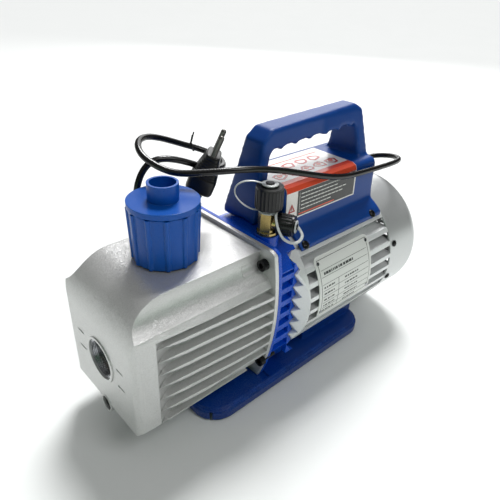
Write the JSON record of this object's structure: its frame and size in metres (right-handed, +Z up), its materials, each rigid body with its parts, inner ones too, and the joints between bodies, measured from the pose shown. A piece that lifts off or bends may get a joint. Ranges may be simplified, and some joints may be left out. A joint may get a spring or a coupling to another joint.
{
  "type": "rotary vane vacuum pump",
  "caption": "Portable oil-sealed rotary vane vacuum pump with finned oil casing, direct drive motor, carrying handle, exhaust cap, capped inlet tee and mains cord.",
  "frame": {"origin": "on the surface the feet stand on, under the middle of the pump", "axes": "+X along the shaft towards the fan cover, +Z up, inlet side towards -Y"},
  "size_m": [0.3795, 0.1486, 0.255],
  "materials": {
    "cast_silver": "fine sparkle paint on cast aluminium",
    "housing_silver": "satin silver paint",
    "bracket_blue": "gloss blue paint on cast aluminium",
    "base_blue": "gloss deep blue paint",
    "handle_blue": "satin moulded plastic",
    "cap_blue": "satin moulded plastic",
    "black_plastic": "moulded plastic",
    "black_rubber": "moulded rubber",
    "clear_tether": "translucent polyethylene",
    "brass": "turned",
    "nickel": "nickel plated",
    "black_steel": "blackened steel",
    "bright_steel": "ground steel",
    "core_steel": "laminated steel",
    "copper": "enamelled copper wire",
    "cast_iron": "machined",
    "aluminium": "machined",
    "carbon": "carbon fibre composite",
    "gasket": "paper and rubber gasket",
    "lens": "clear",
    "filter": "pressed fibre",
    "label": "printed film",
    "plate": "printed foil plate",
    "switch_red": "moulded",
    "grey_plastic": "moulded plastic"
  },
  "bodies": {
    "pump_body": {"oil_casing": "cast_silver", "casing_gasket": "gasket", "pump_bracket": "bracket_blue", "motor_housing": "housing_silver", "motor_end_plate": "aluminium", "stator_core": "core_steel", "stator_windings": "copper", "front_bearing": "bright_steel", "rear_bearing": "bright_steel", "shaft_seal": "black_rubber", "fan_cover": "housing_silver", "fan_cover_screws": "black_steel", "pump_cylinder": "cast_iron", "pump_front_plate": "cast_iron", "pump_rear_plate": "cast_iron", "pump_screws": "black_steel", "exhaust_valve": "bright_steel", "valve_stop": "core_steel", "sight_glass": "lens", "sight_glass_ring": "nickel", "sight_glass_seal": "black_rubber", "inlet_fitting": "brass", "inlet_screen": "nickel", "tether_top": "clear_tether", "tether_side": "clear_tether", "flange_screws": "black_steel", "handle": "handle_blue", "handle_label": "label", "handle_screws": "black_steel", "nameplate": "plate", "plate_rivets": "bright_steel", "base_plate": "base_blue", "base_screws": "bright_steel", "rubber_feet": "black_rubber", "capacitor": "grey_plastic", "switch_frame": "black_plastic", "cord_gland": "black_rubber", "power_cord": "black_rubber", "plug_body": "black_rubber", "plug_pins": "nickel", "cord_tie": "black_plastic"},
    "shaft": {"motor_shaft": "bright_steel", "rotor_core": "aluminium", "cooling_fan": "black_plastic", "pump_rotor": "bright_steel", "vane_springs": "bright_steel"},
    "vane_a_body": {"vane_a": "carbon"},
    "vane_b_body": {"vane_b": "carbon"},
    "exhaust_lift": {"exhaust_seal": "black_rubber"},
    "exhaust_cap_body": {"exhaust_cap": "cap_blue", "exhaust_filter": "filter"},
    "top_lift": {"inlet_seal_top": "clear_tether"},
    "top_cap_body": {"inlet_cap_top": "black_plastic"},
    "side_lift": {"inlet_seal_side": "clear_tether"},
    "side_cap_body": {"inlet_cap_side": "black_plastic"},
    "drain_lift": {"drain_seal": "black_rubber"},
    "drain_plug_body": {"drain_plug": "black_steel"},
    "rocker": {"power_switch": "switch_red"}
  },
  "joints": [
    {"name": "shaft_spin", "type": "hinge", "parent": "pump_body", "child": "shaft", "pos_m": [0, 0, 0.089], "axis": [1, 0, 0], "continuous": true},
    {"name": "vane_a_slide", "type": "slide", "parent": "shaft", "child": "vane_a_body", "axis": [0, 1, 0], "range_m": [-0.004, 0]},
    {"name": "vane_b_slide", "type": "slide", "parent": "shaft", "child": "vane_b_body", "axis": [0, -1, 0], "range_m": [-0.004, 0]},
    {"name": "exhaust_cap_rise", "type": "slide", "parent": "pump_body", "child": "exhaust_lift", "axis": [0, 0, 1], "range_m": [0, 0.00825]},
    {"name": "exhaust_cap_turn", "type": "hinge", "parent": "exhaust_lift", "child": "exhaust_cap_body", "pos_m": [-0.118, 0, 0.159], "axis": [0, 0, 1], "range_deg": [0, 990]},
    {"name": "top_cap_rise", "type": "slide", "parent": "pump_body", "child": "top_lift", "axis": [0, 0, 1], "range_m": [0, 0.00635], "deforming": ["tether_top"]},
    {"name": "top_cap_turn", "type": "hinge", "parent": "top_lift", "child": "top_cap_body", "pos_m": [-0.028, -0.029, 0.179], "axis": [0, 0, 1], "range_deg": [0, 1800]},
    {"name": "side_cap_rise", "type": "slide", "parent": "pump_body", "child": "side_lift", "axis": [0.4695, -0.8829, 0], "range_m": [0, 0.00635], "deforming": ["tether_side"]},
    {"name": "side_cap_turn", "type": "hinge", "parent": "side_lift", "child": "side_cap_body", "pos_m": [-0.028, -0.029, 0.1731], "axis": [0.4695, -0.8829, 0], "range_deg": [0, 1800]},
    {"name": "drain_plug_rise", "type": "slide", "parent": "pump_body", "child": "drain_lift", "axis": [-1, 0, 0], "range_m": [0, 0.01]},
    {"name": "drain_plug_turn", "type": "hinge", "parent": "drain_lift", "child": "drain_plug_body", "pos_m": [-0.1875, 0, 0.03], "axis": [-1, 0, 0], "range_deg": [0, 2880]},
    {"name": "rocker_tilt", "type": "hinge", "parent": "pump_body", "child": "rocker", "pos_m": [0.033, 0.0344, 0.181], "axis": [0, 0, 1], "range_deg": [0, 16]}
  ],
  "couplings": [
    {"joint": "exhaust_cap_rise", "follows": "exhaust_cap_turn", "m_per_rad": 0.00047746},
    {"joint": "top_cap_rise", "follows": "top_cap_turn", "m_per_rad": 0.00020213},
    {"joint": "side_cap_rise", "follows": "side_cap_turn", "m_per_rad": 0.00020213},
    {"joint": "drain_plug_rise", "follows": "drain_plug_turn", "m_per_rad": 0.00019894}
  ]
}
